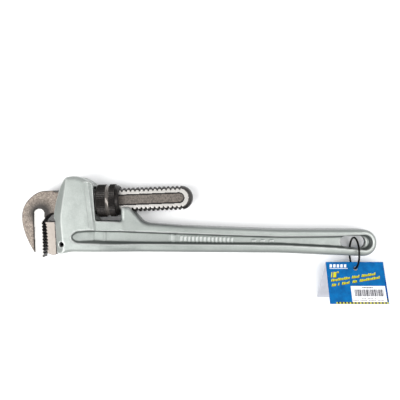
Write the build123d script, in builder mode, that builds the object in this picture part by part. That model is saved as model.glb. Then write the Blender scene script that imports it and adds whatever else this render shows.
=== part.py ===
"""Adjustable pipe wrench with an I-beam handle, a sliding hook jaw on a threaded shank,
a knurled adjusting nut, a pinned heel jaw and a folded card tag on a moulded loop.

Frame: millimetres, +Z up.  The wrench lies on its side: +X runs to the handle end, +Y is the
open side of the nut window, and z = 0 is the plane that the housing rests on.  The origin is
under the middle of the wrench without its tag.
"""
from build123d import *
from math import cos, pi, radians, sin
import os

os.makedirs("parts", exist_ok=True)

# --- shared sizes -------------------------------------------------------------------------
head_thick = 37.2        # housing, along Z
mid_z = head_thick / 2   # plane that the wrench is symmetric about
handle_thick = 26.0      # I-beam flanges, along Z
web_thick = 8.0
body_gap = 0.4           # clearance between bodies that pass each other
over = 5.0               # how far a cutter runs past the face that it opens
left_of_all = -210.0     # cutters and profiles that cross the whole wrench end here
right_of_all = 210.0
clear_of_head = 60.0
half_width = 120.0

# --- shank axis: rises towards the handle end and rocks about the nut's centre --------------
shank_tilt = 2.2         # degrees, at rest
pivot = (-102.2, 18.8, mid_z)
shank_dir = Vector(cos(radians(shank_tilt)), sin(radians(shank_tilt)), 0)
across_dir = Vector(-sin(radians(shank_tilt)), cos(radians(shank_tilt)), 0)
shank_plan = Plane(origin=pivot, x_dir=shank_dir, z_dir=(0, 0, 1))
shank_side = Plane(origin=pivot, x_dir=shank_dir, z_dir=-across_dir)
shank_section = Plane(origin=pivot, x_dir=across_dir, z_dir=shank_dir)

# --- thread, with places along the shank measured from the nut's centre ----------------------
thread_r = 13.75         # crest radius on the shank
thread_depth = 2.0
thread_pitch = 5.0
groove_mouth = 3.0
groove_root = 1.0
groove_proud = 0.6       # how far the groove's cutter stands out of the shank
flank = (groove_mouth - groove_root) / thread_depth
root_r = thread_r - thread_depth
thread_from = -20.0
shank_turns = 21
nut_turns = 7
nut_thread_gap = 0.38    # radial and axial clearance between the two threads

# --- shank and hook jaw -------------------------------------------------------------------
shank_thick = 16.0
shank_end = 95.3
shank_start = -66.0
recess_height = 11.4
recess_depth = 2.6
recess_from = -8.0
recess_to = 85.3
hook_thick = 21.0
hook_taper = (-76.0, -63.5)
jaw_thick = 17.0         # across the teeth
strip_r = 6.4            # round top of the ground strip beside the teeth
strip_centre = (-77.7, -12.1)
strip_length = 70.0
tooth_pitch = 3.6
tooth_depth = 1.75
hook_teeth = 10
hook_crest = -73.75
hook_first_notch = -22.9
heel_teeth = 8

# --- nut ----------------------------------------------------------------------------------
nut_r = 18.4
nut_len = 26.0
nut_collar_len = 4.8
nut_collar_r = 16.9
nut_cove = (-2.3, 1.9)   # round-bottomed groove between the knurled bands
nut_cove_depth = 1.5
nut_chamfer = 1.6
knurl_teeth = 54
knurl_depth = 0.55

# --- housing ------------------------------------------------------------------------------
window_floor = -4.2
hump_left = -87.4
tunnel_thick = shank_thick + 2 * body_gap
leaf_space = 2.0         # room over the shank for the flat spring
rim_r = 4.0              # rounding of the casting's outer edges
bevel_angle = 56.0       # slope of the housing's front bevels, from upright
bevel_drop = 7.0
web_face = mid_z + web_thick / 2
draft = 5.0              # degrees, walls of the pockets
ramp_from = -146.0       # the pockets run out upwards under their pointed ends
ramp_to = -119.5
ramp_step = 1.0
neck = (-110.0, -62.0)   # where the housing thins to the handle's depth

# --- heel jaw and its pin -----------------------------------------------------------------
heel_corners = [
    # X, Y, corner radius
    (-172.8, -4.7, 0.9), (-170.1, -40.7, 2.0), (-163.6, -42.9, 3.0), (-159.3, -41.2, 1.2),
    (-161.3, -4.4, 0.9),
]
heel_origin = (-172.5, -7.4)    # on the crest line, level with the first notch
heel_slope = 4.1                # degrees between the crest line and Y
heel_pin = (-152.4, -30.0)
heel_pin_r = 2.9
heel_pin_hollow_r = 1.9
heel_bore_r = heel_pin_r + 0.05
heel_pin_len = 27.0
heel_lug_thick = 9.0
heel_lug_r = 6.4
heel_lug_root = 12.0     # length of the lug back from the pin to the jaw
heel_pin_slit = 0.8
slot_gap = 0.3           # round the lug in its slot

# --- handle end ---------------------------------------------------------------------------
hole_back_r = 7.0
hole_back = (181.4, -28.2)
hole_front_r = 6.1
hole_front = (165.7, -27.6)

# --- raised marks on the web --------------------------------------------------------------
mark_height = 0.8
mark_root = 0.5          # how far the marks start below the web's face
rib_count = 14
rib_from = -20.0
rib_pitch = 4.4

# --- springs ------------------------------------------------------------------------------
leaf_thick = 1.0
leaf_wide = 12.0
leaf_from = -50.0
leaf_to = -19.0
coil_x = -143.0
coil_r = 2.8
coil_wire_r = 0.6
coil_pitch = 2.4
coil_base = -9.6
coil_length = 12.0
leaf_low = 14.2          # underside of the spring's ends, from the shank's axis
leaf_bow = 0.6
coil_pocket_r = 4.4
coil_pocket_floor = -10.6
coil_pocket_depth = 20.0

# --- tag and loop -------------------------------------------------------------------------
loop_centre = (176.4, -41.0, mid_z + 0.7)
loop_r = 17.6
loop_wire_r = 1.1
card_wide = 65.3
card_long = 47.8                     # each leaf, from the fold
card_thick = 0.5
card_fold = (143.5, -50.9, mid_z + 1.6)   # left end of the fold
card_lean = 23.6                     # degrees that each leaf leans from level
back_skew = -4.7                     # the back leaf is folded this far askew
card_hole_r = 2.6
card_hole_y = -58.2


def tooth_row(count):
    """Points of a row of teeth from its first notch, as (depth below the crests, along)."""
    row = []
    for n in range(count):
        row.append((tooth_depth, n * tooth_pitch))
        row.append((0, (n + 0.5) * tooth_pitch))
    row.append((tooth_depth, count * tooth_pitch))
    return row


def thread_turn(inner_r, outer_r, inner_width, outer_width, start):
    """One right-hand turn of a trapezoid about the shank axis, to cut a thread groove with."""
    centre = Vector(*pivot) + shank_dir * start
    with BuildPart() as turn:
        with BuildLine():
            helix = Helix(thread_pitch, thread_pitch, inner_r, center=centre, direction=shank_dir)
        first = helix @ 0
        outward = (first - centre).normalized()
        with BuildSketch(Plane(origin=first, x_dir=shank_dir, z_dir=shank_dir.cross(outward))):
            with BuildLine():
                Polyline((-inner_width / 2, 0), (inner_width / 2, 0),
                         (outer_width / 2, outer_r - inner_r), (-outer_width / 2, outer_r - inner_r),
                         close=True)
            make_face()
        sweep(path=helix, is_frenet=True)
    return turn.part


# --- handle: housing, hump and I-beam in one casting ------------------------------------------
pocket_corners = [
    # X, Y, corner radius, at the web
    (-141.8, -21.9, 3.2), (-135.5, -16.6, 6), (-122.0, -15.5, 40), (-94.0, -16.0, 200),
    (40.0, -20.9, 400), (92.0, -22.3, 300), (150.0, -21.9, 100), (192.6, -19.9, 7.8),
    (192.6, -36.5, 7.5), (150.0, -32.9, 60), (92.0, -30.1, 200), (-94.0, -28.5, 300),
    (-122.0, -27.3, 40), (-135.5, -26.7, 6),
]
plan_corners = [
    (-158.4, -39.4, 1.5), (-160.4, -3.2, 0.6), (-162.6, -0.2, 1.0), (-160.5, 14.5, 60),
    (-155.2, 32.5, 45), (-148.8, 44.4, 5), (-139.3, 46.5, 24), (-127.6, 44.0, 28),
    (-118.3, 36.8, 7), (-115.4, window_floor, 2.5), (hump_left, window_floor, 2.5),
    (hump_left, 11.7, 2.0), (-78.0, 11.8, 6), (-61.8, -6.5, 16), (-21.9, -9.4, 400),
    (40.8, -11.6, 500), (92.0, -13.5, 400), (198.6, -13.6, 14.9), (198.6, -44.0, 14.6),
    (149.0, -42.3, 150), (92.0, -39.9, 300), (-21.9, -39.1, 500), (-142.0, -38.2, 30),
    (-154.2, -40.9, 5),
]


def rounded_outline(corners):
    """Closed wire of straight runs joined by the arcs that the corner list names."""
    points = [(x, y) for x, y, r in corners]
    FilletPolyline(*points, radius=[r for x, y, r in corners], close=True)


with BuildPart() as pockets:
    with BuildSketch(Plane.XY.offset(web_face)):
        with BuildLine():
            rounded_outline(pocket_corners)
        make_face()
    extrude(amount=head_thick / 2, taper=-draft)
    with BuildSketch(Plane.XZ):
        with BuildLine():
            Polyline((left_of_all, clear_of_head), (ramp_from, head_thick), (ramp_to, web_face + ramp_step),
                     (ramp_to, web_face), (right_of_all, web_face), (right_of_all, clear_of_head), close=True)
        make_face()
    extrude(amount=half_width, both=True, mode=Mode.INTERSECT)
    mirror(about=Plane.XY.offset(mid_z))

with BuildPart() as handle:
    with BuildSketch(Plane.XY.offset(mid_z)):
        with BuildLine():
            rounded_outline(plan_corners)
        make_face()
    extrude(amount=head_thick / 2, both=True)
    with BuildSketch(Plane.XZ):
        with BuildLine():
            upper = Spline((neck[0], head_thick), (neck[1], mid_z + handle_thick / 2),
                           tangents=((1, 0), (1, 0)))
            lower = Spline((neck[0], 0), (neck[1], mid_z - handle_thick / 2),
                           tangents=((1, 0), (1, 0)))
            Polyline(upper @ 1, (right_of_all, mid_z + handle_thick / 2),
                     (right_of_all, mid_z - handle_thick / 2), lower @ 1)
            Polyline(lower @ 0, (left_of_all, 0), (left_of_all, head_thick), upper @ 0)
        make_face()
    extrude(amount=half_width, both=True, mode=Mode.INTERSECT)
    fillet([e for e in handle.edges().filter_by(Axis.Z, reverse=True) if (e @ 0.5).X > 190], rim_r)

with BuildPart() as bevels:
    with BuildSketch(Plane.XY.offset(head_thick)):
        with BuildLine():
            Polyline((-143.0, 60), (-147.2, 40), (-152.4, 4), (-152.4, -6), (-150.2, -28),
                     (-148.0, -60), (-200, -60), (-200, 60), close=True)
        make_face()
    extrude(amount=-bevel_drop, taper=bevel_angle)
    mirror(about=Plane.XY.offset(mid_z))

# Tunnel and groove that the shank passes through, with room for it to rock and for the spring.
clear_r = thread_r + body_gap
with BuildPart() as tunnel:
    with BuildSketch(shank_plan):
        with BuildLine():
            Polyline((-70, -16.4), (-9, -14.5), (-9, clear_r + leaf_space),
                     (-70, clear_r + leaf_space), close=True)
        make_face()
        with BuildLine():
            Polyline((9, -14.6), (60, -14.6), (60, 30), (9, 30), close=True)
        make_face()
    extrude(amount=tunnel_thick / 2, both=True)

# Slot for the heel jaw's lug: a tongue that runs back from the seat to the pin.
slot_r = heel_lug_r + slot_gap
with BuildPart() as heel_slot:
    with BuildSketch(Plane.XY.offset(mid_z)):
        with Locations(heel_pin):
            Circle(slot_r)
            Rectangle(heel_lug_root + 2 * over, 2 * slot_r, align=(Align.MAX, Align.CENTER))
    extrude(amount=heel_lug_thick / 2 + slot_gap, both=True)

with BuildPart() as hang_hole:
    with BuildSketch(Plane.XY):
        with Locations(hole_front):
            Circle(hole_front_r)
        with Locations(hole_back):
            Circle(hole_back_r)
        make_hull()
    extrude(amount=head_thick)

with BuildPart() as web_marks:
    with BuildSketch(Plane.XY.offset(web_face - mark_root)):
        with Locations((-112.8, -22.2)):
            RectangleRounded(12.0, 9.4, 1.0)
        with Locations((-29.7, -23.7)):
            RectangleRounded(3.2, 8.6, 0.8)
        for n in range(rib_count):
            with Locations((rib_from + n * rib_pitch, -24.4 - 0.035 * n * rib_pitch)):
                RectangleRounded(1.8, 5.6, 0.6)
        for x in (62.0, 72.0, 82.0):
            with Locations((x, -27.0)):
                SlotOverall(4.4, 1.8)
    extrude(amount=mark_root + mark_height)
    mirror(about=Plane.XY.offset(mid_z))

with BuildPart() as casting:
    add(handle.part)
    add(bevels.part, mode=Mode.SUBTRACT)
    add(pockets.part, mode=Mode.SUBTRACT)
    add(web_marks.part)
    add(hang_hole.part, mode=Mode.SUBTRACT)
    add(tunnel.part, mode=Mode.SUBTRACT)
    add(heel_slot.part, mode=Mode.SUBTRACT)
    with Locations((heel_pin[0], heel_pin[1], head_thick)):
        Hole(heel_bore_r)
    with Locations(Plane(origin=(coil_x, coil_pocket_floor, mid_z), z_dir=(0, 1, 0))):
        Cylinder(coil_pocket_r, coil_pocket_depth, align=(Align.CENTER, Align.CENTER, Align.MIN),
                 mode=Mode.SUBTRACT)
casting.part.label = "handle"
export_step(casting.part, "parts/handle.step")

# --- hook jaw: one forging with its threaded shank --------------------------------------------
with BuildPart() as hook_body:
    with BuildSketch(shank_plan):
        with BuildLine():
            top = Line((shank_start + 5, thread_r - 0.3), (-71.5, thread_r - 0.3))
            back = Spline(top @ 1, (-79.0, 11.5), (-86.2, 6.7), (-92.6, -0.4), (-96.2, -9.5),
                          (-96.9, -17.5), (-94.8, -30.4), (-89.0, -46.0), (-83.4, -56.2))
            toe = ThreePointArc(back @ 1, (-79.2, -60.6), (-75.5, -61.2))
            notches = [(hook_crest - d, hook_first_notch - a) for d, a in tooth_row(hook_teeth)]
            lip = Line(toe @ 1, notches[-1])
            Polyline(*reversed(notches))
            throat = Spline(notches[0], (-73.8, -20.6), (-71.2, -17.0), (-66.8, -13.4),
                            (shank_start + 5, -11.0))
            Line(throat @ 1, top @ 0)
        make_face()
    extrude(amount=hook_thick / 2, both=True)
    with BuildSketch(shank_side):
        with BuildLine():
            waist = Spline((hook_taper[0], hook_thick / 2), (hook_taper[1], shank_thick / 2),
                           tangents=((1, 0), (1, 0)))
            Polyline(waist @ 1, (-50, shank_thick / 2), (-50, -shank_thick / 2),
                     (hook_taper[1], -shank_thick / 2))
            base = Spline((hook_taper[1], -shank_thick / 2), (hook_taper[0], -hook_thick / 2),
                          tangents=((-1, 0), (-1, 0)))
            Polyline(base @ 1, (-110, -hook_thick / 2), (-110, hook_thick / 2), waist @ 0)
        make_face()
    extrude(amount=half_width, both=True, mode=Mode.INTERSECT)

with BuildPart() as ground_strips:
    with BuildSketch(shank_plan.offset(jaw_thick / 2)):
        with Locations(strip_centre):
            Circle(strip_r)
            Rectangle(2 * strip_r, strip_length, align=(Align.CENTER, Align.MAX))
    extrude(amount=hook_thick)
    mirror(about=shank_plan)

with BuildPart() as recesses:
    with BuildSketch(shank_plan.offset(shank_thick / 2 - recess_depth)):
        with Locations(((recess_from + recess_to) / 2, 0)):
            SlotOverall(recess_to - recess_from, recess_height)
    extrude(amount=recess_depth + over)
    mirror(about=shank_plan)

with BuildPart() as shank_end_form:
    with BuildSketch(shank_plan):
        with BuildLine():
            nose = RadiusArc((shank_end - thread_r, thread_r), (shank_end, 0), thread_r)
            Polyline(nose @ 1, (shank_start - 50, 0), (shank_start - 50, thread_r), nose @ 0)
        make_face()
    revolve(axis=Axis(pivot, shank_dir))

with BuildPart() as hook_jaw:
    with BuildSketch(shank_section.offset(shank_start)):
        Circle(thread_r)
        Rectangle(4 * thread_r, shank_thick, mode=Mode.INTERSECT)
    extrude(amount=shank_end - shank_start)
    for n in range(shank_turns):
        add(thread_turn(root_r, thread_r + groove_proud, groove_root,
                        groove_mouth + groove_proud * flank, thread_from + n * thread_pitch),
            mode=Mode.SUBTRACT)
    add(shank_end_form.part, mode=Mode.INTERSECT)
    add(recesses.part, mode=Mode.SUBTRACT)
    add(hook_body.part)
    add(ground_strips.part, mode=Mode.SUBTRACT)
hook_jaw.part.label = "hook_jaw"
export_step(hook_jaw.part, "parts/hook_jaw.step")

# --- adjusting nut ---------------------------------------------------------------------------
nut_from = -nut_len / 2
bore_r = root_r + nut_thread_gap
with BuildPart() as nut_blank:
    with BuildSketch(shank_plan):
        with BuildLine():
            cove = ThreePointArc((nut_cove[0], nut_r), (sum(nut_cove) / 2, nut_r - nut_cove_depth),
                                 (nut_cove[1], nut_r))
            Polyline(cove @ 0, (nut_from + nut_chamfer, nut_r), (nut_from, nut_r - nut_chamfer),
                     (nut_from, 0), (-nut_from, 0), (-nut_from, nut_collar_r - nut_chamfer),
                     (-nut_from - nut_chamfer, nut_collar_r),
                     (-nut_from - nut_collar_len + 0.6, nut_collar_r),
                     (-nut_from - nut_collar_len, nut_r), cove @ 1)
        make_face()
    revolve(axis=Axis(pivot, shank_dir))

with BuildPart() as adjusting_nut:
    with BuildSketch(shank_section.offset(nut_from - over)):
        with BuildLine():
            turn = 2 * pi / knurl_teeth
            crests = [(nut_r * cos(n * turn), nut_r * sin(n * turn)) for n in range(knurl_teeth)]
            low = nut_r - knurl_depth
            valleys = [(low * cos((n + 0.5) * turn), low * sin((n + 0.5) * turn))
                       for n in range(knurl_teeth)]
            Polyline(*[point for pair in zip(crests, valleys) for point in pair], close=True)
        make_face()
    extrude(amount=nut_len + 2 * over)
    add(nut_blank.part, mode=Mode.INTERSECT)
    with BuildSketch(shank_section.offset(nut_from - over)):
        Circle(bore_r)
    extrude(amount=nut_len + 2 * over, mode=Mode.SUBTRACT)
    # The nut's groove takes the shank's ridge, so it lies half a pitch from the shank's groove.
    for n in range(nut_turns):
        add(thread_turn(root_r, thread_r + nut_thread_gap,
                        thread_pitch - groove_root + nut_thread_gap * 2,
                        thread_pitch - groove_mouth + nut_thread_gap * (2 - flank),
                        thread_from + (n + 0.5) * thread_pitch),
            mode=Mode.SUBTRACT)
adjusting_nut.part.label = "adjusting_nut"
export_step(adjusting_nut.part, "parts/adjusting_nut.step")

# --- heel jaw, with the lug that its pin holds -------------------------------------------------
heel_face = Plane(
    origin=(heel_origin[0], heel_origin[1], mid_z),
    x_dir=(cos(radians(heel_slope)), sin(radians(heel_slope)), 0),
    z_dir=(0, 0, 1),
)
with BuildPart() as heel_jaw:
    with BuildSketch(Plane.XY.offset(mid_z)):
        with BuildLine():
            rounded_outline(heel_corners)
        make_face()
    extrude(amount=jaw_thick / 2, both=True)
    with BuildSketch(heel_face):
        with BuildLine():
            row = [(d, -a) for d, a in tooth_row(heel_teeth)]
            Polyline((-over, 0), *row, (-over, -heel_teeth * tooth_pitch), close=True)
        make_face()
    extrude(amount=jaw_thick, both=True, mode=Mode.SUBTRACT)
    with BuildSketch(Plane.XY.offset(mid_z)):
        with Locations(heel_pin):
            Circle(heel_lug_r)
            Rectangle(heel_lug_root, 2 * heel_lug_r, align=(Align.MAX, Align.CENTER))
    extrude(amount=heel_lug_thick / 2, both=True)
    with Locations((heel_pin[0], heel_pin[1], mid_z)):
        Hole(heel_bore_r)
heel_jaw.part.label = "heel_jaw"
export_step(heel_jaw.part, "parts/heel_jaw.step")

with BuildPart() as heel_jaw_pin:
    with BuildSketch(Plane.XY.offset(mid_z)):
        with Locations(heel_pin):
            Circle(heel_pin_r)
            Circle(heel_pin_hollow_r, mode=Mode.SUBTRACT)
            Rectangle(heel_pin_r * 2, heel_pin_slit, align=(Align.MIN, Align.CENTER),
                      mode=Mode.SUBTRACT)
    extrude(amount=heel_pin_len / 2, both=True)
heel_jaw_pin.part.label = "heel_jaw_pin"
export_step(heel_jaw_pin.part, "parts/heel_jaw_pin.step")

# --- springs that hold the hook jaw at its tilt -------------------------------------------------
with BuildPart() as flat_spring:
    with BuildSketch(shank_plan):
        with BuildLine():
            middle = (leaf_from + leaf_to) / 2
            under = ThreePointArc((leaf_from, leaf_low), (middle, leaf_low + leaf_bow),
                                  (leaf_to, leaf_low))
            tip = Line(under @ 1, (leaf_to, leaf_low + leaf_thick))
            upper = ThreePointArc(tip @ 1, (middle, leaf_low + leaf_bow + leaf_thick),
                                  (leaf_from, leaf_low + leaf_thick))
            Line(upper @ 1, under @ 0)
        make_face()
    extrude(amount=leaf_wide / 2, both=True)
flat_spring.part.label = "flat_spring"
export_step(flat_spring.part, "parts/flat_spring.step")

with BuildPart() as coil_spring:
    with BuildLine():
        coil = Helix(coil_pitch, coil_length, coil_r, center=(coil_x, coil_base, mid_z),
                     direction=(0, 1, 0))
    with BuildSketch(Plane(origin=coil @ 0, z_dir=coil % 0)):
        Circle(coil_wire_r)
    sweep(path=coil, is_frenet=True)
coil_spring.part.label = "coil_spring"
export_step(coil_spring.part, "parts/coil_spring.step")

# --- tag and its loop --------------------------------------------------------------------------
with BuildPart() as tag_loop:
    with Locations(Plane(origin=loop_centre, z_dir=(1, 0, 0))):
        Torus(loop_r, loop_wire_r)
tag_loop.part.label = "tag_loop"
export_step(tag_loop.part, "parts/tag_loop.step")


def card_plane(lean):
    """Plane of a leaf: X along the fold and Y away from it, leaning up or down from level."""
    away = Vector(0, -cos(radians(lean)), sin(radians(lean)))
    return Plane(origin=card_fold, x_dir=(1, 0, 0), z_dir=Vector(1, 0, 0).cross(away))


with BuildPart() as hang_tag:
    for lean, skew, inward in ((card_lean, 0, 1), (-card_lean, back_skew, -1)):
        with BuildSketch(card_plane(lean)):
            with BuildLine():
                Polyline((0, 0), (card_wide, 0), (card_wide + skew, card_long), (skew, card_long),
                         close=True)
            make_face()
        extrude(amount=inward * card_thick)
    with Locations((loop_centre[0], card_hole_y, card_fold[2])):
        Hole(card_hole_r)
hang_tag.part.label = "hang_tag"
export_step(hang_tag.part, "parts/hang_tag.step")
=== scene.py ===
"""Pipe wrench: finishes, rounded castings and the printed tag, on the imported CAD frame."""
import math

import bmesh
import bpy
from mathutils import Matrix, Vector


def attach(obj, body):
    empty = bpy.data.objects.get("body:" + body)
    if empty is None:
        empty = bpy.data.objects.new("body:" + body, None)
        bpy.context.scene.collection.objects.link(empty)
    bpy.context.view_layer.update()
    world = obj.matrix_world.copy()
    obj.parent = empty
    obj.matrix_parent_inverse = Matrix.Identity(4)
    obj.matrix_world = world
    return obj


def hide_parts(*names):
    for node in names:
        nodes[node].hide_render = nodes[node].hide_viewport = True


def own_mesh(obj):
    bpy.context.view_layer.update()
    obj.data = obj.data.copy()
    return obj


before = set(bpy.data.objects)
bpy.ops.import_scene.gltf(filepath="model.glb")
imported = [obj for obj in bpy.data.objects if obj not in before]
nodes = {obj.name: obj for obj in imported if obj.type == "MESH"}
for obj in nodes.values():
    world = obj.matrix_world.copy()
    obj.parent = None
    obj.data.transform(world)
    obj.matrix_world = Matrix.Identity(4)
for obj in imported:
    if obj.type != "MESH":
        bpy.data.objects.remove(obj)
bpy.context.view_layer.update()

MM = 0.001
MID_Z = 18.6 * MM                   # plane that the wrench is symmetric about
PIVOT = Vector((-102.2, 18.8, 18.6)) * MM
TILT = math.radians(2.2)            # of the shank
ALONG = Vector((math.cos(TILT), math.sin(TILT), 0))
ACROSS = Vector((-math.sin(TILT), math.cos(TILT), 0))


# --- camera, light and floor ---------------------------------------------------------------
CAMERA_OVER = (0.9 * MM, 19.3 * MM)
CAMERA_HEIGHT = 0.547               # above the middle plane
FLOOR_GAP = 0.2 * MM                # between the floor and the wrench


def add_camera():
    data = bpy.data.cameras.new("camera")
    data.sensor_width = 36
    data.lens = 43.2
    data.clip_start = 0.01
    camera = bpy.data.objects.new("camera", data)
    camera.location = (*CAMERA_OVER, MID_Z + CAMERA_HEIGHT)
    bpy.context.scene.collection.objects.link(camera)
    bpy.context.scene.camera = camera


def add_light(name, place, target, size, power):
    data = bpy.data.lights.new(name, "AREA")
    data.shape = "RECTANGLE"
    data.size, data.size_y = size
    data.energy = power
    lamp = bpy.data.objects.new(name, data)
    lamp.location = place
    lamp.rotation_euler = (Vector(target) - Vector(place)).to_track_quat("-Z", "Y").to_euler()
    bpy.context.scene.collection.objects.link(lamp)


def add_floor():
    mesh = bpy.data.meshes.new("floor")
    bm = bmesh.new()
    bmesh.ops.create_grid(bm, x_segments=2, y_segments=2, size=4.0)
    bm.to_mesh(mesh)
    bm.free()
    floor = bpy.data.objects.new("floor", mesh)
    floor.location.z = -FLOOR_GAP
    bpy.context.scene.collection.objects.link(floor)
    material = bpy.data.materials.new("floor")
    material.use_nodes = True
    shader = material.node_tree.nodes["Principled BSDF"]
    shader.inputs["Base Color"].default_value = (0.93, 0.93, 0.935, 1)
    shader.inputs["Roughness"].default_value = 0.9
    shader.inputs["Specular IOR Level"].default_value = 0.1
    mesh.materials.append(material)


def add_world():
    world = bpy.data.worlds.new("studio")
    bpy.context.scene.world = world
    world.use_nodes = True
    back = world.node_tree.nodes["Background"]
    back.inputs["Color"].default_value = (0.98, 0.99, 1.0, 1)
    back.inputs["Strength"].default_value = 0.5


add_camera()
add_world()
add_floor()
add_light("box_left", place=(-0.72, -0.3, 0.85), target=(-0.05, 0.0, 0),
          size=(0.7, 1.3), power=15.5)
add_light("box_right", place=(0.62, 0.05, 0.95), target=(0.1, 0.0, 0),
          size=(0.6, 1.2), power=9.5)
bpy.context.scene.view_settings.view_transform = "Standard"


# --- materials ----------------------------------------------------------------------------
MIX_INPUTS = (0, 6, 7)              # a colour Mix node's factor, A and B
MIX_RESULT = 2
FLANGE_SHADE_SPAN = (-0.125, -0.085)   # X span over which the head turns into the handle, and the painted shade on sloping faces fades in
HOLLOW = (-76.0, -11.0)             # mm along and across the shank from the nut's centre, to the middle of the painted shade in the hollow
# radii between which the hollow's painted shade fades out
HOLLOW_SHADE_FADE = (8.0 * MM, 16.5 * MM)
COVE_SHIFT = 0.2 * MM               # of the nut's cove, from the nut's centre
COVE_FADE = (1.5 * MM, 2.3 * MM)    # to each side of the cove's middle, for its polish and its painted highlight


class Finish:
    """A Principled material with small helpers for procedural colour, roughness and bump."""

    def __init__(self, name, color, rough, metal=0.0, coat=0.0, specular=0.5):
        self.material = bpy.data.materials.new(name)
        self.material.use_nodes = True
        self.tree = self.material.node_tree
        self.shader = self.tree.nodes["Principled BSDF"]
        self.shader.inputs["Base Color"].default_value = (*color, 1)
        self.shader.inputs["Roughness"].default_value = rough
        self.shader.inputs["Metallic"].default_value = metal
        self.shader.inputs["Coat Weight"].default_value = coat
        self.shader.inputs["Coat Roughness"].default_value = 0.2
        self.shader.inputs["Specular IOR Level"].default_value = specular
        place = self.tree.nodes.new("ShaderNodeTexCoord")
        self.coords, self.normals = place.outputs["Object"], place.outputs["Normal"]

    def node(self, kind, **values):
        made = self.tree.nodes.new(kind)
        for key, value in values.items():
            setattr(made, key, value)
        return made

    def link(self, a, b):
        self.tree.links.new(a, b)

    def noise(self, size_mm, detail=4.0, rough=0.55, stretch=(1, 1, 1)):
        """Noise between 0 and 1 whose cells are about size_mm across."""
        place = self.node("ShaderNodeMapping")
        place.inputs["Scale"].default_value = stretch
        self.link(self.coords, place.inputs["Vector"])
        made = self.node("ShaderNodeTexNoise")
        made.inputs["Scale"].default_value = 1 / (size_mm * MM)
        made.inputs["Detail"].default_value = detail
        made.inputs["Roughness"].default_value = rough
        self.link(place.outputs["Vector"], made.inputs["Vector"])
        return made.outputs["Fac"]

    def ramp(self, value, stops):
        """Colour ramp over (position, colour) stops."""
        made = self.node("ShaderNodeValToRGB")
        while len(made.color_ramp.elements) < len(stops):
            made.color_ramp.elements.new(0.5)
        for element, (place, color) in zip(made.color_ramp.elements, stops):
            element.position = place
            element.color = (*color, 1)
        self.link(value, made.inputs["Fac"])
        return made.outputs["Color"]

    def feed(self, value, socket):
        """Links an output to the socket, or sets the socket to a number or a colour."""
        if hasattr(value, "links"):
            self.link(value, socket)
        elif isinstance(value, tuple):
            socket.default_value = (*value, 1)
        else:
            socket.default_value = value

    def mix(self, factor, a, b):
        made = self.node("ShaderNodeMix", data_type="RGBA")
        for value, index in zip((factor, a, b), MIX_INPUTS):
            self.feed(value, made.inputs[index])
        return made.outputs[MIX_RESULT]

    def maths(self, operation, a, b=0.0):
        made = self.node("ShaderNodeMath", operation=operation)
        self.feed(a, made.inputs[0])
        self.feed(b, made.inputs[1])
        return made.outputs[0]

    def spread(self, value, low, high, out_low, out_high):
        """Value mapped from low..high to out_low..out_high, and clamped there."""
        made = self.node("ShaderNodeMapRange")
        for key, number in (("From Min", low), ("From Max", high), ("To Min", out_low),
                            ("To Max", out_high)):
            made.inputs[key].default_value = number
        self.link(value, made.inputs["Value"])
        return made.outputs["Result"]

    def sharpness(self):
        """0.5 on flat surfaces, more on outer edges and less in inner corners."""
        return self.node("ShaderNodeNewGeometry").outputs["Pointiness"]

    def levelness(self):
        """1 where the surface faces straight up or down, and 0 where it stands upright."""
        made = self.node("ShaderNodeSeparateXYZ")
        self.link(self.normals, made.inputs[0])
        return self.maths("ABSOLUTE", made.outputs["Z"])

    def axis(self, which):
        made = self.node("ShaderNodeSeparateXYZ")
        self.link(self.coords, made.inputs[0])
        return made.outputs[which]

    def color(self, value):
        self.link(value, self.shader.inputs["Base Color"])

    def rough(self, value):
        self.link(value, self.shader.inputs["Roughness"])

    def bump(self, *layers):
        """Bump from (height 0 to 1, depth in mm) layers."""
        normal = None
        for height, depth_mm in layers:
            made = self.node("ShaderNodeBump")
            made.inputs["Strength"].default_value = 1.0
            made.inputs["Distance"].default_value = depth_mm * MM
            self.link(height, made.inputs["Height"])
            if normal:
                self.link(normal, made.inputs["Normal"])
            normal = made.outputs["Normal"]
        self.link(normal, self.shader.inputs["Normal"])


def cast_finish():
    """Light grey-green lacquer on a fine-grained aluminium casting. Outer edges are rubbed lighter,
    partly as a painted highlight; inner corners and the handle's sloping flanges are darker as
    painted shade."""
    f = Finish("cast_lacquer", (0.2, 0.22, 0.21), 0.36, metal=0.35, coat=0.1)
    cloud = f.noise(30, detail=3)
    fine = f.noise(1.4, detail=5)
    base = f.ramp(cloud, [(0.3, (0.2, 0.22, 0.206)), (0.7, (0.25, 0.271, 0.255))])
    grained = f.mix(f.spread(fine, 0.35, 0.65, 0.0, 0.35), base, (0.29, 0.312, 0.294))
    # Painted shade: on the handle, faces that slope away from level are darkened; the head keeps
    # its colour.
    sloping = f.spread(f.levelness(), 0.8, 0.998, 0.85, 0.0)
    on_handle = f.spread(f.axis("X"), *FLANGE_SHADE_SPAN, 0.0, 1.0)
    flange_shaded = f.mix(f.maths("MULTIPLY", sloping, on_handle), grained, (0.1, 0.112, 0.11))
    # Lighter along outer edges and creases: rubbed edge wear, and a painted highlight along the
    # creases.
    worn = f.mix(f.spread(f.sharpness(), 0.507, 0.53, 0.0, 0.75), flange_shaded, (0.56, 0.58, 0.56))
    # Painted shade: darker in inner corners and along the pockets' walls.
    corner_shade = f.spread(f.sharpness(), 0.46, 0.492, 0.75, 0.0)
    f.color(f.mix(corner_shade, worn, (0.07, 0.08, 0.075)))
    f.rough(f.spread(f.noise(5, detail=3), 0.3, 0.7, 0.3, 0.42))
    f.bump((fine, 0.05), (f.noise(8, detail=2), 0.15))
    return f.material


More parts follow.
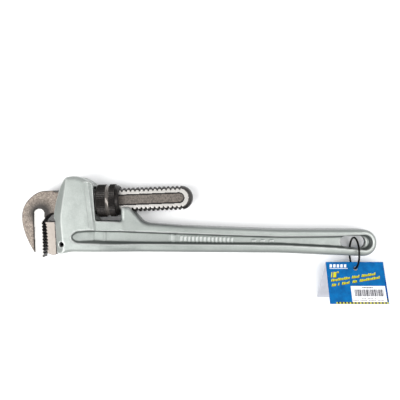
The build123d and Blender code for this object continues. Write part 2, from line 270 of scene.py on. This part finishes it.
def forged_finish():
    """Scaled, grey-brown forging skin: fine warm and cool speckle, with painted shade on upright
    walls and in the hollow round the ground strip's top."""
    f = Finish("forged_skin", (0.2, 0.17, 0.145), 0.5, metal=0.3)
    patches = f.noise(1.9, detail=6, rough=0.8)
    grit = f.noise(0.6, detail=4)
    skin = f.ramp(patches, [(0.36, (0.11, 0.087, 0.07)), (0.48, (0.205, 0.17, 0.142)),
                            (0.56, (0.305, 0.255, 0.213)), (0.68, (0.45, 0.39, 0.34))])
    speckled = f.mix(f.spread(grit, 0.42, 0.68, 0.0, 0.6), skin, (0.06, 0.048, 0.04))
    dark = (0.02, 0.017, 0.015)
    flat = f.node("ShaderNodeVectorMath", operation="MULTIPLY")
    flat.inputs[1].default_value = (1, 1, 0)
    f.link(f.coords, flat.inputs[0])
    away = f.node("ShaderNodeVectorMath", operation="DISTANCE")
    f.link(flat.outputs[0], away.inputs[0])
    hollow = PIVOT + ALONG * HOLLOW[0] * MM + ACROSS * HOLLOW[1] * MM
    away.inputs[1].default_value = (hollow.x, hollow.y, 0)
    # Painted shade in the hollow round the ground strip's top, fading out with distance.
    near = f.spread(away.outputs["Value"], *HOLLOW_SHADE_FADE, 0.96, 0.0)
    # Painted shade: upright walls darker than the level faces.
    walls = f.spread(f.levelness(), 0.6, 0.98, 0.9, 0.0)
    f.color(f.mix(walls, f.mix(near, speckled, dark), dark))
    f.rough(f.spread(grit, 0.3, 0.7, 0.4, 0.62))
    f.bump((grit, 0.12), (patches, 0.25))
    return f.material


def scale_finish(name, color, rough=0.45):
    """Black scale left on walls, teeth and recess sides that no wheel reached; there its black also
    paints the shade of gaps and corners.
    """
    f = Finish(name, color, rough, metal=0.3)
    worn = f.noise(1.3, detail=5, rough=0.7)
    f.color(f.ramp(worn, [(0.4, tuple(c * 0.5 for c in color)),
                          (0.75, tuple(c * 2.0 for c in color))]))
    f.rough(f.spread(worn, 0.3, 0.7, rough - 0.08, rough + 0.12))
    f.bump((worn, 0.06))
    return f.material


def ground_finish(name, color, streak_axis, metal=0.55):
    """Ground steel: fine parallel grinding lines, slightly warm, with faint stains."""
    f = Finish(name, color, 0.3, metal=metal)
    stretch = [1, 1, 1]
    stretch[streak_axis] = 0.04
    lines = f.noise(0.35, detail=3, stretch=tuple(stretch))
    stains = f.noise(7, detail=4)
    darker = tuple(c * 0.78 for c in color)
    base = f.mix(f.spread(stains, 0.35, 0.7, 0.0, 0.5), color, darker)
    f.color(f.mix(f.spread(lines, 0.35, 0.65, 0.0, 0.3), base, tuple(c * 0.7 for c in color)))
    f.rough(f.spread(lines, 0.3, 0.7, 0.25, 0.42))
    f.bump((lines, 0.03))
    return f.material


def black_oxide_finish():
    """Black oxide, brown where it is rubbed, and polished in the cove between the knurled bands,
    where a lighter colour also paints a highlight.
    """
    f = Finish("black_oxide", (0.04, 0.035, 0.03), 0.36, metal=0.6)
    worn = f.noise(1.6, detail=5, rough=0.7)
    dull = f.ramp(worn, [(0.4, (0.006, 0.005, 0.005)), (0.56, (0.02, 0.017, 0.015)),
                         (0.72, (0.07, 0.058, 0.05))])
    along = f.node("ShaderNodeVectorMath", operation="DOT_PRODUCT")
    f.link(f.coords, along.inputs[0])
    along.inputs[1].default_value = ALONG
    middle = PIVOT.dot(ALONG) - COVE_SHIFT
    off = f.maths("ABSOLUTE", f.maths("SUBTRACT", along.outputs["Value"], middle))
    cove = f.spread(off, *COVE_FADE, 1.0, 0.0)
    # Polished steel in the cove, made lighter as a painted highlight.
    f.color(f.mix(f.maths("MULTIPLY", cove, 0.8), dull, (0.2, 0.18, 0.165)))
    rubbed = f.spread(worn, 0.3, 0.7, 0.06, -0.04)
    f.rough(f.maths("ADD", f.spread(cove, 0.0, 1.0, 0.36, 0.13), rubbed))
    f.bump((f.noise(0.7, detail=3), 0.04))
    return f.material


def dark_steel_finish(name, color, rough):
    f = Finish(name, color, rough, metal=0.8)
    haze = f.noise(1.2, detail=4)
    f.color(f.mix(f.spread(haze, 0.35, 0.7, 0.0, 0.6), color, tuple(c * 1.9 for c in color)))
    f.rough(f.spread(haze, 0.3, 0.7, rough - 0.08, rough + 0.1))
    f.bump((haze, 0.02))
    return f.material


def loop_finish():
    """Glossy black moulded plastic with faint drawing lines."""
    f = Finish("loop_black", (0.006, 0.006, 0.007), 0.3, specular=0.1)
    haze = f.noise(0.6, detail=3)
    hazed = f.spread(haze, 0.4, 0.7, 0.0, 0.5)
    f.color(f.mix(hazed, (0.002, 0.002, 0.002), (0.006, 0.006, 0.007)))
    f.rough(f.spread(haze, 0.3, 0.7, 0.24, 0.38))
    f.bump((haze, 0.02))
    return f.material


def card_finish(name, dark, light, size_mm, rough=0.5):
    """Matt card with a mottled print, in patches about size_mm across, and a fine paper grain."""
    f = Finish(name, light, rough, specular=0.12)
    cloud = f.noise(size_mm, detail=4, rough=0.6)
    f.color(f.ramp(cloud, [(0.3, dark), (0.68, light)]))
    f.rough(f.spread(f.noise(2, detail=3), 0.3, 0.7, rough - 0.06, rough + 0.08))
    f.bump((f.noise(0.4, detail=2), 0.01))
    return f.material


# --- pieces -------------------------------------------------------------------------------
def new_object(name, mesh):
    made = bpy.data.objects.new(name, mesh)
    bpy.context.scene.collection.objects.link(made)
    return made


def closed_object(name, bm):
    """New object with the bmesh's faces, all facing outwards."""
    bmesh.ops.recalc_face_normals(bm, faces=bm.faces)
    mesh = bpy.data.meshes.new(name)
    bm.to_mesh(mesh)
    bm.free()
    return new_object(name, mesh)


def evaluated_mesh(piece):
    """Applies the piece's modifiers and returns it with that mesh."""
    graph = bpy.context.evaluated_depsgraph_get()
    mesh = bpy.data.meshes.new_from_object(piece.evaluated_get(graph))
    piece.modifiers.clear()
    old = piece.data
    piece.data = mesh
    bpy.data.meshes.remove(old)
    return piece


def rounded_copy(node, name, voxel_mm, passes, weight, shape=None):
    """Copy of a CAD node with a fine even mesh, whose edges are rounded where weight(point, normal)
    is near 1 and kept where it is near 0. shape(point) moves a point first."""
    piece = new_object(name, nodes[node].data.copy())
    remesh = piece.modifiers.new("remesh", "REMESH")
    remesh.mode = "VOXEL"
    remesh.voxel_size = voxel_mm * MM
    evaluated_mesh(piece)
    if shape:
        for vertex in piece.data.vertices:
            vertex.co = shape(vertex.co)
    group = piece.vertex_groups.new(name="soft")
    for vertex in piece.data.vertices:
        group.add([vertex.index], weight(vertex.co, vertex.normal), "REPLACE")
    smooth = piece.modifiers.new("smooth", "SMOOTH")
    smooth.factor = 0.5
    smooth.iterations = passes
    smooth.vertex_group = "soft"
    evaluated_mesh(piece)
    piece.vertex_groups.clear()
    piece.data.shade_smooth()
    return piece


def paint(piece, materials, pick=None):
    """Gives the piece these materials; pick(centre, normal) chooses one by its number."""
    mesh = piece.data
    mesh.materials.clear()
    for material in materials:
        mesh.materials.append(material)
    if pick:
        for face in mesh.polygons:
            face.material_index = pick(face.center, face.normal)


# Places on the hook jaw: u along and v across the shank from the nut's centre, in mm.
RECESS = (-2.3, 79.6, 5.7)          # u of its two end centres, and their radius
RECESS_SHADE_RIM = (0.55, 1.0)            # of its dark side, painted shade, outside and inside that radius
SHANK_NOSE = (79.6, 10.6)           # u of the ground face's end centre, and its radius
THREAD_FROM = -30.0                 # u
NECK_FROM = -22.0                   # u where the forged neck ends
HOOK_TO = -60.0                     # u
STRIP = (-84.9, -71.0)              # u of the ground strip and its teeth
STRIP_SOFT_TO = -70.8               # u where the hook's full rounding starts again
STRIP_FACE = (-84.3, -71.2)         # u of the strip's ground faces above the teeth
STRIP_TOP = -5.0                    # v
TEETH = (-76.0, -71.0)              # u
TEETH_TOP = -21.0                   # v
TOOTH_FACE = (-74.3, -20.0)         # u of the ground faces' edge by the teeth, v where it starts
THROAT_SHADE = (-74.5, -17.5)             # u and v that the corner by the teeth, painted black as shade, starts at
STRIP_HEIGHTS = (7.9, 9.4)          # from the middle plane to its ground faces and past them
SHANK_FACE = 7.5                    # from the middle plane to just below the ground faces
SHANK_CORE = 4.8                    # from the middle plane to below the recess floor
LEVEL = 0.8                         # least |normal.z| of a face that a wheel ground
# The black scale material is partly real scale and partly painted shade between teeth, on walls and
# in corners.
FORGED, STRIP_GROUND, SHANK_GROUND, SCALE_AND_SHADE, RECESS_SKIN = range(5)


def shank_place(point):
    """(u, v, height) of a point from the nut's centre, in mm."""
    d = (point - PIVOT) / MM
    return d.dot(ALONG), d.dot(ACROSS), d.z


def clamp(value, low=0.0, high=1.0):
    return max(low, min(high, value))


cast = cast_finish()
forged = forged_finish()
scale = scale_finish("black_scale_and_shade", (0.02, 0.017, 0.016))
recess_skin = scale_finish("recess_skin", (0.11, 0.093, 0.08), rough=0.5)
ground_strip = ground_finish("ground_strip", (0.5, 0.49, 0.47), 1, metal=0.2)
ground_shank = ground_finish("ground_shank", (0.44, 0.425, 0.405), 0, metal=0.25)
heel_ground = ground_finish("heel_ground", (0.3, 0.262, 0.228), 1, metal=0.2)
black_oxide = black_oxide_finish()
# The heel jaw's pin: dark steel, darkened further to near black as painted shade of its hole.
pin_black_shade = dark_steel_finish("pin_black_shade", (0.02, 0.02, 0.02), 0.5)
spring_steel = dark_steel_finish("spring_steel", (0.2, 0.2, 0.21), 0.35)
loop_black = loop_finish()


# The handle: edges rounded as a sand casting's are, its low marks on the web kept.
WEB_HEIGHT = 5.4                    # mm from the middle plane to above the marks
WEB_FROM = -0.125                   # X, in m
HEAD_TO = -0.11                     # X, in m
RIDGE = (-121.4, -0.122)            # first crease: X at its foot, and change of X with Y, in mm
RIDGE_FOOT = -8.3                   # Y, in mm, as all of the ridge is
RIDGE_STEP = 4.1                    # from the first crease to the second
RIDGE_SLOPES = (0.36, 1.1)          # of the faces before the second crease and after it
RIDGE_DROP = 3.0                    # how far the faces by the window lie below the hood
RIDGE_LOW = (-28, 10)               # Y where the drop starts, and the length it grows over
RIDGE_HIGH = (43, 5)                # Y where it has ended, and the length it fades over
RIDGE_END = -60                     # X past which the handle keeps its faces


def handle_softness(point, normal):
    height = abs(point.z - MID_Z) / MM
    if height < WEB_HEIGHT and point.x > WEB_FROM:
        return 0.15
    return 0.3 if point.x < HEAD_TO else 1.0


def hood_ridge(point):
    """The housing's faces fall away towards the nut's window, first gently and then steeply."""
    x, y = point.x / MM, point.y / MM
    run = x - RIDGE[0] - RIDGE[1] * (y - RIDGE_FOOT)
    if run < 0 or x > RIDGE_END:
        return point
    gentle, steep = RIDGE_SLOPES
    drop = min(RIDGE_DROP, gentle * min(run, RIDGE_STEP) + steep * max(0.0, run - RIDGE_STEP))
    drop *= clamp((y - RIDGE_LOW[0]) / RIDGE_LOW[1]) * clamp((RIDGE_HIGH[0] - y) / RIDGE_HIGH[1])
    most = MID_Z - drop * MM
    return Vector((point.x, point.y, MID_Z + clamp(point.z - MID_Z, -most, most)))


handle = rounded_copy("handle", "handle_casting", 0.85, 12, handle_softness, hood_ridge)
paint(handle, [cast])
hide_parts("handle")
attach(handle, "root")


# The hook jaw: a rounded forging whose teeth, thread and ground faces stay crisp.
def hook_softness(point, normal):
    u, v, _ = shank_place(point)
    if u > THREAD_FROM:
        return 0.06
    if TEETH[0] < u < TEETH[1] and v < TEETH_TOP:
        return 0.05
    return 0.35 if STRIP[0] < u < STRIP_SOFT_TO and v < STRIP_TOP else 1.0


def in_capsule(u, v, start, stop, radius):
    """Whether (u, v) is within radius of the line from (start, 0) to (stop, 0)."""
    return math.hypot(u - min(max(u, start), stop), v) < radius


def strip_material(u, v, height, level):
    """Ground faces on the strip; its walls and its teeth are scale, whose black also paints their
    shade.
    """
    right = TOOTH_FACE[0] if v < TOOTH_FACE[1] else STRIP_FACE[1]
    ground = level and STRIP_FACE[0] < u < right and height > STRIP_HEIGHTS[0]
    return STRIP_GROUND if ground else SCALE_AND_SHADE


def hook_material(center, normal):
    u, v, z = shank_place(center)
    height, level = abs(z), abs(normal.z) > LEVEL
    if u < HOOK_TO:
        if STRIP[0] < u < STRIP[1] and v < STRIP_TOP and height < STRIP_HEIGHTS[1]:
            return strip_material(u, v, height, level)
        # The throat's corner by the teeth is black, as painted shade.
        return SCALE_AND_SHADE if u > THROAT_SHADE[0] and v < THROAT_SHADE[1] else FORGED
    if u < NECK_FROM:
        return FORGED
    if height < SHANK_CORE:
        return SCALE_AND_SHADE
    start, stop, radius = RECESS
    # Painted shade: a black rim round the recess, on its walls and its floor's edge.
    if in_capsule(u, v, start, stop, radius + RECESS_SHADE_RIM[0]):
        inside = in_capsule(u, v, start, stop, radius - RECESS_SHADE_RIM[1])
        return RECESS_SKIN if inside and level else SCALE_AND_SHADE
    ground = in_capsule(u, v, THREAD_FROM, *SHANK_NOSE)
    # Thread and shank sides are black: scale, and painted shade between the thread's teeth.
    return SHANK_GROUND if level and ground and height > SHANK_FACE else SCALE_AND_SHADE


hook = rounded_copy("hook_jaw", "hook_jaw_forging", 0.55, 14, hook_softness)
paint(hook, [forged, ground_strip, ground_shank, scale, recess_skin], hook_material)
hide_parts("hook_jaw")
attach(hook, "jaw")


# The heel jaw: ground sides, with dark teeth and a dark rim along its back and top, both black
# scale partly painted as shade.
HEEL_BACK = (-161.3, -0.0543)       # back edge: X at its top, and change of X with Y, in mm
HEEL_TOP = -4.4                     # Y
HEEL_SHADE_RIM = 1.0                      # of painted shade along the back
HEEL_GROUND_TO = -5.5               # Y below the rim along the top
HEEL_LUG_FROM = -0.158              # X, in m, inside the housing
HEEL_LEVEL = 0.75                   # least |normal.z| of a ground side


def heel_material(center, normal):
    """0 ground side, 1 black scale, also painted shade on the teeth and along the back and top rim.
    """
    x, y = center.x / MM, center.y / MM
    back_edge = HEEL_BACK[0] + HEEL_BACK[1] * (y - HEEL_TOP)
    # Painted shade: a dark rim along the back edge, where the heel meets the housing, and along the
    # top.
    inside = x < back_edge - HEEL_SHADE_RIM and y < HEEL_GROUND_TO
    return 0 if abs(normal.z) > HEEL_LEVEL and (inside or center.x > HEEL_LUG_FROM) else 1


heel = rounded_copy("heel_jaw", "heel_jaw_block", 0.42, 2, lambda point, normal: 0.6)
paint(heel, [heel_ground, scale], heel_material)
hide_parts("heel_jaw")
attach(heel, "root")

for name, material in (("heel_jaw_pin", pin_black_shade), ("adjusting_nut", black_oxide),
                       ("flat_spring", spring_steel)):
    paint(nodes[name], [material])

# The coil spring's wire, on its seat; the real spring shortens there when the jaw rocks down onto
# it.
coil = new_object("coil_spring_wire", nodes["coil_spring"].data.copy())
paint(coil, [spring_steel])
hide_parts("coil_spring")
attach(coil, "root")
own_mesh(coil)

# --- the tag's loop -----------------------------------------------------------------------
LOOP = Vector((176.4, -41.0, 19.3)) * MM
LOOP_R = 17.6 * MM
LOOP_WIRE = 2.2 * MM
LOOP_GAP = 7.0                      # degrees of the ring that its lock takes
LOCK_R = 1.5 * MM
LOCK_LONG = 5.9                     # mm
LOCK_PROFILE = ((0, 0.5), (0.15, 0.8), (0.5, 0.97), (1.2, 1.0),     # mm along, share of LOCK_R
                (1.5, 0.86), (1.8, 0.86), (2.1, 1.0),
                (3.6, 1.0), (3.9, 0.86), (4.2, 0.86), (4.5, 1.0),
                (5.4, 0.97), (5.75, 0.8), (LOCK_LONG, 0.5))


def loop_point(degrees, radius=LOOP_R):
    angle = math.radians(degrees)
    return LOOP + Vector((0, radius * math.cos(angle), radius * math.sin(angle)))


def make_loop(corners=18):
    """Nearly closed ring whose two ends meet in the lock under the handle."""
    step = (360 - LOOP_GAP) / (corners - 1)
    curve = bpy.data.curves.new("loop_cord", "CURVE")
    curve.dimensions = "3D"
    curve.bevel_depth = LOOP_WIRE / 2
    curve.bevel_resolution = 4
    curve.resolution_u = 8
    spline = curve.splines.new("NURBS")
    spline.points.add(corners - 1)
    stretch = 1 / math.cos(math.radians(step / 2)) ** 0.5
    for n, point in enumerate(spline.points):
        place = loop_point(-90 + LOOP_GAP / 2 + n * step, LOOP_R * stretch)
        point.co = (*place, 1)
    spline.order_u = 3
    spline.use_endpoint_u = True
    return new_object("loop_cord", curve)


def revolve(name, profile, start, direction, segments=32):
    """Closed mesh turned about a line from a (along, radius) profile, in metres."""
    axis = Vector(direction).normalized()
    side = axis.orthogonal().normalized()
    up = axis.cross(side)
    bm = bmesh.new()
    rings = []
    for along, radius in profile:
        centre = Vector(start) + axis * along
        rings.append([bm.verts.new(centre + (side * math.cos(t) + up * math.sin(t)) * radius)
                      for t in (2 * math.pi * n / segments for n in range(segments))])
    for low, high in zip(rings, rings[1:]):
        for n in range(segments):
            m = (n + 1) % segments
            bm.faces.new((low[n], low[m], high[m], high[n]))
    bm.faces.new(list(reversed(rings[0])))
    bm.faces.new(rings[-1])
    made = closed_object(name, bm)
    made.data.shade_smooth()
    return made


loop = make_loop()
loop.data.materials.append(loop_black)
lock = revolve("loop_lock", [(x * MM, LOCK_R * share) for x, share in LOCK_PROFILE],
               loop_point(-90) + Vector((0, -LOCK_LONG / 2 * MM, 0)), (0, 1, 0))
paint(lock, [loop_black])
for piece in (loop, lock):
    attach(piece, "tie")
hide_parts("tag_loop")


# --- the folded card ------------------------------------------------------------------------
FOLD = Vector((143.5, -50.9, 20.2)) * MM
WIDE = 65.3 * MM
LONG = 47.8 * MM
LEAN = math.radians(23.6)
SKEW = -4.7 * MM                    # the back leaf's end, along the fold
CARD = 0.45 * MM
BEND_R = 0.9 * MM                   # of the fold
HOLE = Vector((176.4, -58.2)) * MM
HOLE_R = 2.3 * MM
INK_DEPTH = 0.1 * MM                # of the ink's underside in the card


def leaf_point(s, t, lift=0.0, front=True):
    """Point of a leaf: s along the fold and t away from it, both 0 to 1, lifted off its outside."""
    side = 1 if front else -1
    away = Vector((0, -math.cos(LEAN), side * math.sin(LEAN)))
    out = Vector((0, math.sin(LEAN), side * math.cos(LEAN)))
    slide = 0 if front else SKEW * t
    return FOLD + Vector((WIDE * s + slide, 0, 0)) + away * (LONG * t) + out * lift


def make_card(across=26, down=16):
    """One sheet folded over: its outside is printed, its inside and edges are bare card."""
    rows = []
    start = BEND_R * 2 / LONG           # where a leaf leaves the fold's round
    for n in range(down, -1, -1):
        rows.append((start + (1 - start) * n / down, False))
    for n in range(down + 1):
        rows.append((start + (1 - start) * n / down, True))
    bm = bmesh.new()
    outer, inner = [], []
    for t, front in rows:
        for target, lift in ((outer, 0), (inner, -CARD)):
            target.append([bm.verts.new(leaf_point(n / across, t, lift, front))
                           for n in range(across + 1)])
    # The fold's own rows, on a small round between the two leaves.
    centre = FOLD + Vector((0, -BEND_R * 1.15, 0))
    for k, degrees in enumerate((-60, -30, 0, 30, 60)):
        angle = math.radians(degrees)
        for target, radius in ((outer, BEND_R), (inner, BEND_R - CARD)):
            target.insert(down + 1 + k, [
                bm.verts.new(centre + Vector((WIDE * n / across, radius * math.cos(angle),
                                              radius * math.sin(angle))))
                for n in range(across + 1)])
    for grid, flip in ((outer, False), (inner, True)):
        for low, high in zip(grid, grid[1:]):
            for n in range(across):
                corners = (low[n], low[n + 1], high[n + 1], high[n])
                bm.faces.new(tuple(reversed(corners)) if flip else corners)
    for n in range(across):
        for a, b in ((outer[0], inner[0]), (outer[-1], inner[-1])):
            bm.faces.new((a[n], a[n + 1], b[n + 1], b[n]))
    for low, high, low_in, high_in in zip(outer, outer[1:], inner, inner[1:]):
        for end in (0, -1):
            bm.faces.new((low[end], high[end], high_in[end], low_in[end]))
    return closed_object("card", bm)


def cut_hole(piece, radius):
    cutter = revolve("hole_cutter", [(-30 * MM, radius), (30 * MM, radius)],
                     (HOLE.x, HOLE.y, FOLD.z), (0, 0, 1), segments=28)
    bore = piece.modifiers.new("hole", "BOOLEAN")
    bore.operation = "DIFFERENCE"
    bore.object = cutter
    evaluated_mesh(piece)
    bpy.data.objects.remove(cutter)


def print_patches(name, quads, lift_mm, material):
    """Ink: thin raised quads on the front leaf, each of four (s, t) corners."""
    bm = bmesh.new()
    for quad in quads:
        top = [bm.verts.new(leaf_point(s, t, lift_mm * MM)) for s, t in quad]
        low = [bm.verts.new(leaf_point(s, t, -INK_DEPTH)) for s, t in quad]
        bm.faces.new(top)
        bm.faces.new(list(reversed(low)))
        for n in range(len(quad)):
            m = (n + 1) % len(quad)
            bm.faces.new((top[n], low[n], low[m], top[m]))
    piece = closed_object(name, bm)
    paint(piece, [material])
    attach(piece, "tag")
    return piece


def bar(s0, s1, t0, t1, lean=0.0):
    """Upright quad, leaning along s by lean times its height."""
    slant = lean * (t1 - t0)
    return ((s0 + slant, t0), (s1 + slant, t0), (s1, t1), (s0, t1))


def row(count, pitch, s0, s1, t0, t1, lean=0.0, leave=None):
    """Count bars along s, pitch apart. Leave (of, which) leaves out one bar in each so many."""
    kept = (k for k in range(count) if not leave or k % leave[0] != leave[1])
    return [bar(s0 + pitch * k, s1 + pitch * k, t0, t1, lean) for k in kept]


BLOCK_WIDTHS = (0.017, 0.023, 0.013, 0.02)
BLOCK_HEIGHTS = (1.0, 0.72, 0.78, 0.94)
BLOCK_GAP = 0.009
BLOCK_ROOM = 0.014                  # least space left in a group for one more block


def greeked(start, stop, t_start, t_stop, height, groups):
    """Slanted blocks along a rising line, in groups from low to high shares of its length."""
    blocks = []
    for low, high in groups:
        s = start + (stop - start) * low
        end = start + (stop - start) * high
        count = 0
        while s + BLOCK_ROOM < end:
            wide = BLOCK_WIDTHS[count % 4]
            base = t_start + (t_stop - t_start) * (s - start) / (stop - start)
            tall = height * BLOCK_HEIGHTS[(count * 3) % 4]
            blocks.append(bar(s, s + wide, base - tall, base, lean=0.25))
            s += wide + BLOCK_GAP
            count += 1
    return blocks


BAR_WIDTHS = (0.008, 0.014, 0.007, 0.01, 0.018, 0.008, 0.012)
BAR_GAPS = (0.007, 0.004, 0.01, 0.005)


def barcode(start, stop, t0, t1):
    """Bars of made-up widths and gaps, which encode nothing."""
    bars = []
    s, n = start, 0
    while s < stop:
        wide = BAR_WIDTHS[(n * 5) % 7]
        bars.append(bar(s, s + wide, t0, t1))
        s += wide + BAR_GAPS[(n * 3) % 4]
        n += 1
    return bars


blue = card_finish("print_blue", (0.0, 0.07, 0.225), (0.0, 0.13, 0.37), size_mm=7, rough=0.7)
bare = card_finish("card_bare", (0.5, 0.51, 0.56), (0.58, 0.59, 0.64), size_mm=9, rough=0.6)
yellow = card_finish("print_yellow", (0.42, 0.4, 0.01), (0.62, 0.6, 0.03), size_mm=1.5)
shade = card_finish("print_shade", (0.08, 0.05, 0.0), (0.16, 0.1, 0.01), size_mm=1.5)
white = card_finish("print_white", (0.74, 0.74, 0.77), (0.82, 0.82, 0.84), size_mm=6)
black = card_finish("print_black", (0.005, 0.005, 0.01), (0.03, 0.025, 0.04), size_mm=2)
navy = card_finish("print_navy", (0.0, 0.03, 0.16), (0.0, 0.06, 0.25), size_mm=3)

card = make_card()
cut_hole(card, HOLE_R)


def card_side(center, normal):
    """0 printed outside, 1 bare inside or edge."""
    upper = center.z > FOLD.z
    out = Vector((0, math.sin(LEAN), math.cos(LEAN) if upper else -math.cos(LEAN)))
    return 0 if normal.dot(out) > 0.5 else 1


paint(card, [blue, bare], card_side)
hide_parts("hang_tag")
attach(card, "tag")

# The print, in shares of the leaf: s along the fold and t away from it.
rows = (greeked(0.06, 0.84, 0.475, 0.315, 0.06, ((0, 0.4), (0.46, 0.63), (0.68, 1.0)))
        + greeked(0.06, 0.9, 0.59, 0.4, 0.06,
                  ((0, 0.1), (0.13, 0.17), (0.21, 0.38), (0.43, 0.52), (0.58, 1.0))))
mark = [bar(0.065, 0.082, 0.25, 0.375, 0.15), bar(0.1, 0.15, 0.25, 0.375, 0.15),
        bar(0.17, 0.182, 0.235, 0.27, 0.3), bar(0.19, 0.202, 0.235, 0.27, 0.3)]
lines = rows + mark
shadows = [tuple((s + 0.006, t + 0.012) for s, t in quad) for quad in lines]
codes = barcode(0.44, 0.92, 0.665, 0.825)
label = [bar(0.384, 0.967, 0.583, 0.966)]
small = (row(7, 0.026, 0.58, 0.598, 0.607, 0.637)
         + row(22, 0.024, 0.40, 0.416, 0.905, 0.923, leave=(6, 4))
         + row(10, 0.024, 0.55, 0.566, 0.862, 0.878, leave=(5, 3)))
dashes = row(15, 0.057, 0.13, 0.164, 0.958, 0.997)
heading = row(5, 0.062, 0.06, 0.1, 0.062, 0.138, lean=0.1) + [bar(0.06, 0.37, 0.158, 0.17)]
prints = [
    print_patches("tag_shade", shadows, 0.03, shade),
    print_patches("tag_lines", lines, 0.06, yellow),
    print_patches("tag_label", label + heading, 0.04, white),
    print_patches("tag_codes", codes + small, 0.07, black),
    print_patches("tag_border", [bar(0.11, 0.985, 0.957, 0.999)], 0.05, yellow),
    print_patches("tag_dashes", dashes + [bar(0.97, 0.99, 0.87, 0.935)], 0.08, black),
    print_patches("tag_margin", [bar(0.975, 0.997, 0.45, 0.87)], 0.04, navy),
]
